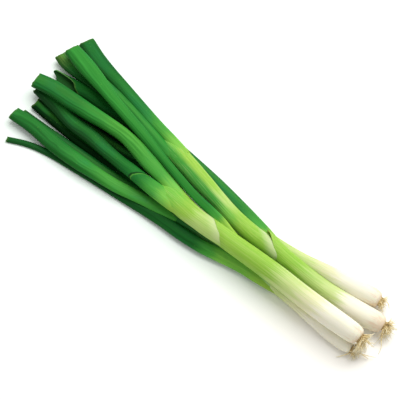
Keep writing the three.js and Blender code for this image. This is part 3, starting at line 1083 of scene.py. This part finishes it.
@dataclass
class RootBeard:
    """The root plate at the end of a bulb and the trimmed, curly roots on it."""

    onion: str
    sheath: Route
    finish: RootFinish
    count: int
    length: tuple[float, float]
    spread: float
    droop: float
    strays: tuple[Point, ...]  # where the tips of the few long roots lie
    seed: int
    thick: tuple[float, float] = (0.38, 0.68)
    stray_thick: float = 0.85
    sides: int = 6
    steps: int = 9  # along a short root
    stray_steps: int = 14  # along a long one
    floor: float = 0.35  # least height of the middle of a short root
    stray_floor: float = 0.3
    turn: float = 0.382  # of a circle, from one root to the next

    def mesh(self) -> bpy.types.Object:
        """Build the plate, the short roots and the few long ones.

        Returns:
            The beard's object.
        """
        draw = random.Random(self.seed)
        plate = Plate.at_end(self.sheath)
        skin = Skin()
        skin.add_tube(*plate.dome())
        for index in range(self.count + len(self.strays)):
            angle = 2 * math.pi * (index * self.turn + 0.1 * draw.random())
            share = math.sqrt((index + 0.5) / (self.count + len(self.strays)))
            radial = plate.sideways * math.cos(angle) + plate.upward * math.sin(angle)
            start = plate.tip + plate.outward * (plate.crown - plate.crown_fall * share * share)
            start = start + radial * plate.radius * plate.root_reach * share
            if index < self.count:
                heading = unit(plate.outward + radial * self.spread * share * draw.uniform(0.5, 1.1))
                path = self._short_path(start, heading, draw)
                self._add_root(skin, path, draw.uniform(*self.thick))
            else:
                end = np.array(self.strays[index - self.count])
                self._add_root(skin, self._long_path(start, plate.outward, end, draw), self.stray_thick)
        return skin.make(f"roots_{self.onion}")

    def _short_path(self, start: np.ndarray, heading: np.ndarray, draw: random.Random) -> np.ndarray:
        """A curly root that droops, cut off at its length.

        Args:
            start: Where it leaves the plate.
            heading: The direction in which it leaves.
            draw: The beard's random draws.

        Returns:
            The points of its middle.
        """
        reach = draw.uniform(*self.length) / self.steps
        turn = np.array([draw.uniform(-1, 1) for _ in range(3)]) * 0.35
        points = [start]
        for _ in range(self.steps):
            wobble = np.array([draw.uniform(-1, 1) for _ in range(3)]) * 0.16
            heading = unit(heading + turn * 0.5 + wobble - UP * self.droop * 0.14)
            step = points[-1] + heading * reach
            step[2] = max(step[2], self.floor)
            points.append(step)
        return np.array(points)

    def _long_path(self, start: np.ndarray, outward: np.ndarray, end: np.ndarray,
                   draw: random.Random) -> np.ndarray:
        """A long root from the plate to where its tip lies.

        Args:
            start: Where it leaves the plate.
            outward: The direction in which the plate faces.
            end: Where its tip lies.
            draw: The beard's random draws.

        Returns:
            The points of its middle.
        """
        steps = np.linspace(0, 1, self.stray_steps)[:, None]
        middle = (start + end) / 2 + outward * 2.5
        path = (1 - steps) ** 2 * start + 2 * steps * (1 - steps) * middle + steps**2 * end
        phase = draw.uniform(0, 6)
        swing = np.column_stack([np.sin(7 * steps + phase), np.cos(5 * steps + phase), np.sin(6 * steps)])
        path += 0.5 * swing * (steps * (1 - steps) * 4)
        path[:, 2] = np.maximum(path[:, 2], self.stray_floor)
        return path

    def _add_root(self, skin: Skin, path: np.ndarray, thick: float) -> None:
        """Add one tapered root.

        Args:
            skin: What it is added to.
            path: The points of its middle.
            thick: Its thickness near the plate.
        """
        along = unit(np.gradient(path, axis=0))
        side = unit(np.cross(along, np.array([0.31, 0.17, 0.93])))
        top = np.cross(side, along)
        angles = np.linspace(0, 2 * math.pi, self.sides, endpoint=False)
        share = np.linspace(0, 1, len(path))
        radius = thick * (0.72 - 0.42 * share)
        across, upward = np.cos(angles)[None, :, None], np.sin(angles)[None, :, None]
        grid = path[:, None] + radius[:, None, None] * (across * side[:, None] + upward * top[:, None])
        tip = np.broadcast_to(0.15 + 0.75 * share[:, None], grid.shape[:2])
        skin.add_tube(grid, {"tip": tip, "grain": grid - path[0]})

    def dress(self, made: bpy.types.Object) -> None:
        """Give the beard its finish and tie it to the model."""
        attach(made, self.finish, f"onion_{self.onion}_roots")


@dataclass
class Onion:
    """One spring onion: its shank, its roots and its leaves."""

    shank: Shank
    roots: RootBeard
    leaves: tuple[Leaf, ...]


DARK_LEAF = stops(bright=0, fir=-60, pine=-200)
SHADED_LEAF = stops(fir=0, pine=-60, deep=-90)
LIME_STEM = stops(lime=(76, 44, -4, -34), pale_lime=20, sap=-52, grass=-72, leaf=-110, fir=-160)


def onion_a() -> Onion:
    """The far onion, short, lying behind the others.

    Returns:
        The onion.
    """
    sheath = Route((
        (181, 25.4, 8.6, 9), (179.5, 25.2, 8.6, 14), (174, 24.4, 8.6, 17.2), (161, 22, 8.6, 17.8),
        (144, 19.3, 8.4, 17), (124, 16.4, 7.4, 15), (106, 14.2, 6.4, 13), (83, 12.6, 5.6, 11.6),
        (60, 12.2, 5.3, 11), (45, 12.4, 5.2, 10.8)))
    stem = Route((
        (62, 12.2, 5.3, 9.6), (30, 13, 5, 10.4), (0, 15, 4.6, 12), (-24, 17, 4.4, 14)), (1, 0.6))
    white = ShankFinish(stops(peach=183, flesh=(170, 146), ivory=128, cream=106, lime=60),
                        stops(lime=40, grass=0), seed=11)
    leaves = (
        Leaf("a", 1, Route((
            (-12, 20, 4.4, 9), (-60, 21.5, 3.6, 14), (-100, 22.8, 3.6, 14.5), (-137, 23, 4.4, 15),
            (-165, 20.8, 5.2, 15), (-186, 17.8, 6, 14.4)), (0.6, 0.5)),
            LeafFinish(DARK_LEAF, Tone.BRIGHT, 0.3, shine=0.04, seed=21),
            slant=19, slant_turn=215, ragged=1.2),
        Leaf("a", 2, Route((
            (-16, 13, 4.2, 7), (-60, 9.8, 3.1, 12), (-100, 8.4, 2.9, 14), (-150, 7.6, 2.9, 14),
            (-197, 4.6, 2.9, 13)), (0.6, 0.42)),
            LeafFinish(SHADED_LEAF, shine=0.03, seed=22)),
        Leaf("a", 3, Route((
            (-12, 9.6, 4.6, 5), (-30, 5.5, 4, 8), (-60, 0, 3.1, 12), (-100, -5, 2.9, 14),
            (-150, -7, 2.9, 14), (-193, -9.8, 2.9, 12.5)), (0.6, 0.42)),
            LeafFinish(SHADED_LEAF, shine=0.03, seed=23)),
    )
    strays = ((191, 27, 5), (188, 21, 3))
    roots = RootBeard("a", sheath, RootFinish(seed=3), count=55, length=(3, 8), spread=0.9, droop=0.7,
                      strays=strays, seed=31)
    return Onion(Shank("a", sheath, stem, white, band=0.5), roots, leaves)


def onion_b() -> Onion:
    """The onion with the dark outer leaf and the long far leaves.

    Returns:
        The onion.
    """
    sheath = Route((
        (197, 8.8, 9.2, 9), (195.5, 8.6, 9.3, 14), (190, 7.6, 9.2, 18), (178, 5.5, 9.1, 19.2),
        (157, 3.4, 8.9, 18.8), (137, 2.5, 9, 17.6), (117, 2.4, 10.6, 16.8), (97, 2.7, 13.2, 17),
        (79, 3.5, 16, 18.2)), (1, 0.95))
    stem = Route((
        (90, 3, 14.4, 17.8), (62, 1.2, 17.4, 16.4), (37, 3.2, 18.6, 15.8), (14, 7.6, 18.8, 16.8),
        (-10, 13, 18.6, 18.2), (-32, 18, 18, 19.2), (-52, 22.4, 17.4, 18.6)), (0.98, 0.44))
    lime = ShankFinish(stops(peach=197, flesh=(184, 166), cream=148, pale_lime=130, lime=(106, 76)),
                       LIME_STEM, fibre=0.7, flank_shade=stops(lime=50, sap=34, grass=(16, -50)), seed=12)
    leaves = (
        Leaf("b", 1, Route((
            (84, 11, 12.6, 6), (66, 12.8, 13.8, 11.5), (48, 15, 14.6, 13.4), (25, 18.7, 14.6, 13.4),
            (0, 23.2, 13.6, 12.2), (-25, 27.2, 11.8, 11), (-62, 31.5, 8.6, 11.5), (-112, 34.6, 6.2, 12),
            (-166, 34, 6, 12.5), (-199, 34.6, 6.4, 13), (-212, 37.6, 6.6, 11.5)), (0.42, 0.36), (35, 0)),
            LeafFinish(stops(lime=72, grass=62, leaf=(30, -190), fir=-60, olive=-210), seed=24)),
        Leaf("b", 2, Route((
            (-38, 24.8, 17.6, 10), (-58, 28.4, 17.8, 11), (-80, 32.6, 17.2, 11.4), (-103, 37.8, 16.2, 11.8),
            (-130, 44, 14.6, 13), (-158, 50.4, 12.6, 14.6), (-180, 56.4, 10.8, 16),
            (-202, 64.6, 9.2, 16.4)), (0.72, 0.32)),
            LeafFinish(LIME_STEM, crest=Tone.BRIGHT, seed=25)),
        Leaf("b", 3, Route((
            (-38, 16, 17.2, 9), (-60, 18, 17.4, 12.6), (-77, 22.2, 17.2, 12.2), (-100, 27.6, 16.6, 12),
            (-125, 32.8, 15.2, 11.6), (-147, 37.6, 13.2, 11.5), (-175, 44.4, 10.4, 11.4),
            (-196, 52, 7.6, 11.4)), (0.6, 0.36)),
            LeafFinish(stops(grass=-40, bright=-60, leaf=-130), highlight_share=0.8, seed=26)),
    )
    strays = ((205, 9, 5), (204, 3, 3), (203, -4, 2), (208, -12, 1.5), (200, -8, 2))
    roots = RootBeard("b", sheath, RootFinish(seed=5), count=95, length=(4, 12), spread=1.2, droop=0.5,
                      strays=strays, seed=32)
    return Onion(Shank("b", sheath, stem, lime, mouth_slant=12), roots, leaves)


def onion_c() -> Onion:
    """The onion on top, whose two collars carry the big bright leaves.

    Returns:
        The onion.
    """
    sheath = Route((
        (190, -17.8, 20.2, 9.5), (188.5, -17.8, 20.4, 14.5), (183, -18.1, 20.8, 17.8),
        (171, -18.6, 21.2, 18.6), (154, -19.2, 21.5, 19), (130, -19, 21.5, 18.8), (106, -18.2, 21.3, 18.8),
        (80, -18.3, 21.2, 18.4), (58, -18.7, 21, 18.2), (36, -19.2, 20.9, 18.4)), (1, 0.88))
    stem = Route((
        (50, -18.8, 21, 17.2), (32, -19.6, 20.8, 17.8), (12, -19.8, 20.5, 18.8), (-4, -18.8, 20, 20),
        (-18, -17.4, 19.6, 21)), (0.95, 0.6))
    white = ShankFinish(stops(peach=191, flesh=(180, 157), ivory=139, cream=117, lime=(90, 50)),
                        stops(lime=(50, 2), pale_lime=(36, 16), sap=-22, grass=-36), fibre=0.5, seed=13)
    leaves = (
        Leaf("c", 1, Route((
            (60, -14, 22, 5), (46, -12.4, 22.9, 7.4), (33, -9.8, 23.8, 8.6), (21, -7.9, 24.6, 8),
            (0, -5.4, 25, 7.6), (-27, 0.4, 24.5, 7.8), (-53, 7, 23.5, 8.4), (-87, 15.8, 22.2, 10.4),
            (-125, 25, 20.4, 11.4), (-144, 30.2, 19.4, 13.2), (-158, 34.2, 18.6, 15.8),
            (-180, 39.8, 17.4, 17.8), (-203, 45.6, 16.6, 15.6)), (0.55, 0.28), (-30, 0)),
            LeafFinish(stops(lime=38, grass=26, bright=(14, -180)), highlight_share=0.3, seed=27)),
        Leaf("c", 2, Route((
            (2, -14.5, 20, 11), (-18, -11.2, 19.8, 12.4), (-34, -7.8, 19.4, 14), (-56, -3.4, 19, 16),
            (-76, 1.4, 18.4, 15.4), (-95, 4.2, 17.8, 14), (-112, 4.3, 17.4, 14), (-138, 2.6, 16.8, 16.2),
            (-164, 1.4, 16, 17.6), (-187, 0.8, 15.4, 17.4), (-204, -2.4, 15, 16.6)), (0.75, 0.32)),
            LeafFinish(stops(lime=-8, sap=-22, grass=(-40, -105), bright=-130, leaf=-158),
                       Tone.SAP, 0.12, seed=28)),
        Leaf("c", 3, Route((
            (2, -21.4, 19.8, 12), (-16, -21.6, 19.8, 15), (-34, -21.4, 19.4, 15), (-52, -20.6, 18.2, 13.6),
            (-66, -19.2, 16.4, 13), (-80, -18.4, 14.6, 12.8), (-97, -16.8, 12.8, 13.4),
            (-121, -14.2, 10.8, 15), (-146, -13, 9, 16), (-173, -8, 8.6, 15.4), (-199, -4, 8.4, 15)),
            (0.75, 0.34)),
            LeafFinish(stops(lime=-8, sap=-22, grass=-36, leaf=-54, fir=-84, pine=-140),
                       Tone.BRIGHT, 0.75, seed=29), collar=56.0),
    )
    strays = ((193, -27, 10), (198, -21, 8), (194, -24, 5), (199, -18, 3), (196, -14, 4))
    roots = RootBeard("c", sheath, RootFinish(seed=7), count=110, length=(5, 13), spread=1.3, droop=1.5,
                      strays=strays, seed=33)
    return Onion(Shank("c", sheath, stem, white, mouth_slant=11, band=0.4), roots, leaves)


def onion_d() -> Onion:
    """The near onion, half hidden under the one on top.

    Returns:
        The onion.
    """
    sheath = Route((
        (188, -24, 6.2, 7.5), (186.5, -24.2, 6.3, 10.5), (180, -24.9, 6.4, 13), (166, -24.8, 6.4, 13.4),
        (144, -23, 6.1, 12.8), (121, -20.8, 5.9, 12.2), (98, -20.2, 5.8, 12)))
    stem = Route((
        (115, -20.6, 5.8, 10.4), (70, -20, 5.5, 11.4), (40, -20.6, 5.3, 11.6), (10, -22, 5, 12.4),
        (-14, -24.4, 4.8, 13)), (1, 0.75))
    white = ShankFinish(stops(flesh=(186, 150), ivory=128, cream=112),
                        stops(sap=100, grass=60, leaf=20), seed=14)
    leaves = (
        Leaf("d", 1, Route((
            (118, -23.4, 6.6, 3.5), (103, -24.6, 6.8, 6), (86, -25.4, 7, 8.6), (70, -25.8, 7, 10.4),
            (52, -28.4, 6.8, 11.8), (31, -32.6, 6.6, 12.4), (9, -34.6, 6, 12.4), (-14, -35.2, 5, 11.6),
            (-37, -36.6, 4, 11), (-62, -39, 3, 10.5), (-105, -43.6, 2.1, 9), (-147, -49.4, 1.5, 6.6),
            (-167, -54.8, 1.4, 6), (-185, -63.2, 1.3, 5.6)), (0.42, 0.46), (-35, 0)),
            LeafFinish(stops(cream=118, lime=100, sap=(70, 50), grass=38, fir=20, pine=-60),
                       Tone.LEAF, flank_shade=0.0, seed=41)),
        Leaf("d", 2, Route((
            (-4, -26.2, 7.4, 7), (-29, -29, 7.6, 11), (-51, -33, 7.8, 12), (-71, -36.8, 7.8, 12.6),
            (-94, -39, 7.6, 13.6), (-118, -40.4, 7.4, 15), (-143, -40.6, 7.2, 15.6), (-172, -39, 7, 15),
            (-198, -40, 6.8, 13.6)), (0.5, 0.32)),
            LeafFinish(stops(grass=(0, -70), bright=-110, leaf=-145), highlight_share=0.25, fold=0.1, seed=42)),
        Leaf("d", 3, Route((
            (-6, -20.6, 4.6, 6), (-50, -26.6, 2.9, 11), (-93, -30.4, 2.6, 12), (-131, -32.4, 2.5, 12),
            (-166, -33.8, 2.5, 12), (-194, -34.4, 2.5, 11.5)), (0.5, 0.38)),
            LeafFinish(DARK_LEAF, seed=43)),
        Leaf("d", 4, Route((
            (-4, -18.4, 6.4, 5), (-50, -17.6, 4, 11.5), (-93, -18.4, 3, 14), (-131, -19, 2.9, 14.2),
            (-166, -18.2, 2.9, 13.6), (-192, -17, 2.9, 12)), (0.5, 0.4)),
            LeafFinish(SHADED_LEAF, shine=0.03, seed=44)),
    )
    strays = (
        (208, -16, 2), (204, -21, 1.6), (196, -29, 1.4), (182, -37, 1.2), (188, -19.5, 7.5),
        (188.4, -20.8, 10), (188.8, -22, 13), (189.6, -19, 8.5), (190.5, -21.5, 11.5), (192, -19, 7),
        (187, -18.5, 7))
    roots = RootBeard("d", sheath, RootFinish(seed=9), count=90, length=(4, 11), spread=1.5, droop=-0.3,
                      strays=strays, seed=34)
    return Onion(Shank("d", sheath, stem, white, band=0.4), roots, leaves)


@dataclass(frozen=True)
class SoftLight:
    """A square light round the bunch, with its side in metres and its power in watts."""

    name: str
    azimuth: float
    elevation: float
    side: float
    power: float
    distance: float = 1.3


@dataclass
class Studio:
    """White floor, soft light from behind and above, and the camera at the photograph's angle."""

    target: Point = (0.002, -0.003, 0.012)
    azimuth: float = 40.5
    elevation: float = 60.0
    distance: float = 1.0
    lens: float = 100.0
    floor_side: float = 8.0
    bounce_tint_from: float = -0.02  # place along X where the floor's painted bounce light turns from a green to a cream white tint
    bounce_tint_full: float = 0.16
    sky: float = 0.60
    lights: tuple[SoftLight, ...] = (
        SoftLight("key", azimuth=190.0, elevation=64.0, side=1.0, power=13.5),
        SoftLight("side", azimuth=158.0, elevation=36.0, side=0.6, power=4.5),
    )

    def build(self) -> None:
        """Make the floor, the sky, the lights and the camera."""
        self._floor()
        self._sky()
        for light in self.lights:
            self._light(light)
        self._camera()
        bpy.context.scene.view_settings.view_transform = "Standard"

    def _place(self, name: str, data: bpy.types.ID, azimuth: float, elevation: float,
               distance: float) -> bpy.types.Object:
        """Stand a light or camera round the bunch, facing it.

        Args:
            name: Its name.
            data: The light or camera.
            azimuth: Where it stands round the bunch.
            elevation: How high it stands.
            distance: How far off, in metres.

        Returns:
            The new object.
        """
        turn, rise = math.radians(azimuth), math.radians(elevation)
        level = math.cos(rise)
        back = Vector((math.sin(turn) * level, -math.cos(turn) * level, math.sin(rise)))
        made = bpy.data.objects.new(name, data)
        made.location = Vector(self.target) + back * distance
        made.rotation_mode = "QUATERNION"
        made.rotation_quaternion = (-back).to_track_quat("-Z", "Y")
        bpy.context.scene.collection.objects.link(made)
        return made

    def _floor(self) -> None:
        """Make the floor, a wide pale sheet tinted green and cream as painted bounce light."""
        half = self.floor_side / 2
        mesh = bpy.data.meshes.new("floor")
        corners = [(-half, -half, 0), (half, -half, 0), (half, half, 0), (-half, half, 0)]
        mesh.from_pydata(corners, [], [(0, 1, 2, 3)])
        floor = bpy.data.objects.new("floor", mesh)
        bpy.context.scene.collection.objects.link(floor)
        graph = Graph("floor_finish")
        place = graph.add("TexCoord").outputs["Object"]
        cloud = graph.add("TexNoise", {"Vector": place, "Scale": 3.0}).outputs["Fac"]
        along_x = graph.add("SeparateXYZ", {"Vector": place}).outputs["X"]
        # painted bounce light: green under the leaves, cream under the bulbs, seen in the floor's shadows
        green = graph.blend(cloud, (0.88, 0.96, 0.90), (0.91, 0.97, 0.92))
        cream = graph.blend(cloud, (0.97, 0.95, 0.89), (0.98, 0.96, 0.92))
        floor.data.materials.append(graph.finish({
            "Base Color": graph.blend(graph.fit(along_x, self.bounce_tint_from, self.bounce_tint_full), green, cream),
            "Roughness": 0.9,
            "Specular IOR Level": 0.1,
        }))

    def _sky(self) -> None:
        """Surround the scene with even white light."""
        world = bpy.data.worlds.new("sky")
        world.use_nodes = True
        background = world.node_tree.nodes["Background"]
        background.inputs["Color"].default_value = (1.0, 1.0, 1.0, 1.0)
        background.inputs["Strength"].default_value = self.sky
        bpy.context.scene.world = world

    def _light(self, light: SoftLight) -> None:
        """Make one of the lights.

        Args:
            light: What it is like and where it stands.
        """
        data = bpy.data.lights.new(light.name, "AREA")
        data.size = light.side
        data.energy = light.power
        self._place(light.name, data, light.azimuth, light.elevation, light.distance)

    def _camera(self) -> None:
        """Make the camera."""
        data = bpy.data.cameras.new("camera")
        data.lens = self.lens
        data.clip_start = 0.01
        bpy.context.scene.camera = self._place("camera", data, self.azimuth, self.elevation, self.distance)


PRESS_ORDER = "cbad"
LEAF_ORDER = ("c3", "c2", "c1", "b3", "b2", "d2", "b1", "a1", "d4", "d3", "d1", "a3", "a2")


def main() -> None:
    """Build the bunch in the order in which its pieces keep their shape, then the studio."""
    logging.basicConfig(level=logging.INFO, format="%(message)s")
    onions = {"a": onion_a(), "b": onion_b(), "c": onion_c(), "d": onion_d()}
    press = Press()
    for letter in PRESS_ORDER:
        shank = onions[letter].shank
        shank.dress(shank.mesh(press))
    for letter, number in LEAF_ORDER:
        leaf = onions[letter].leaves[int(number) - 1]
        leaf.dress(leaf.mesh(press))
    for letter in PRESS_ORDER:
        roots = onions[letter].roots
        roots.dress(roots.mesh())
    Studio().build()


if __name__ == "__main__":
    main()
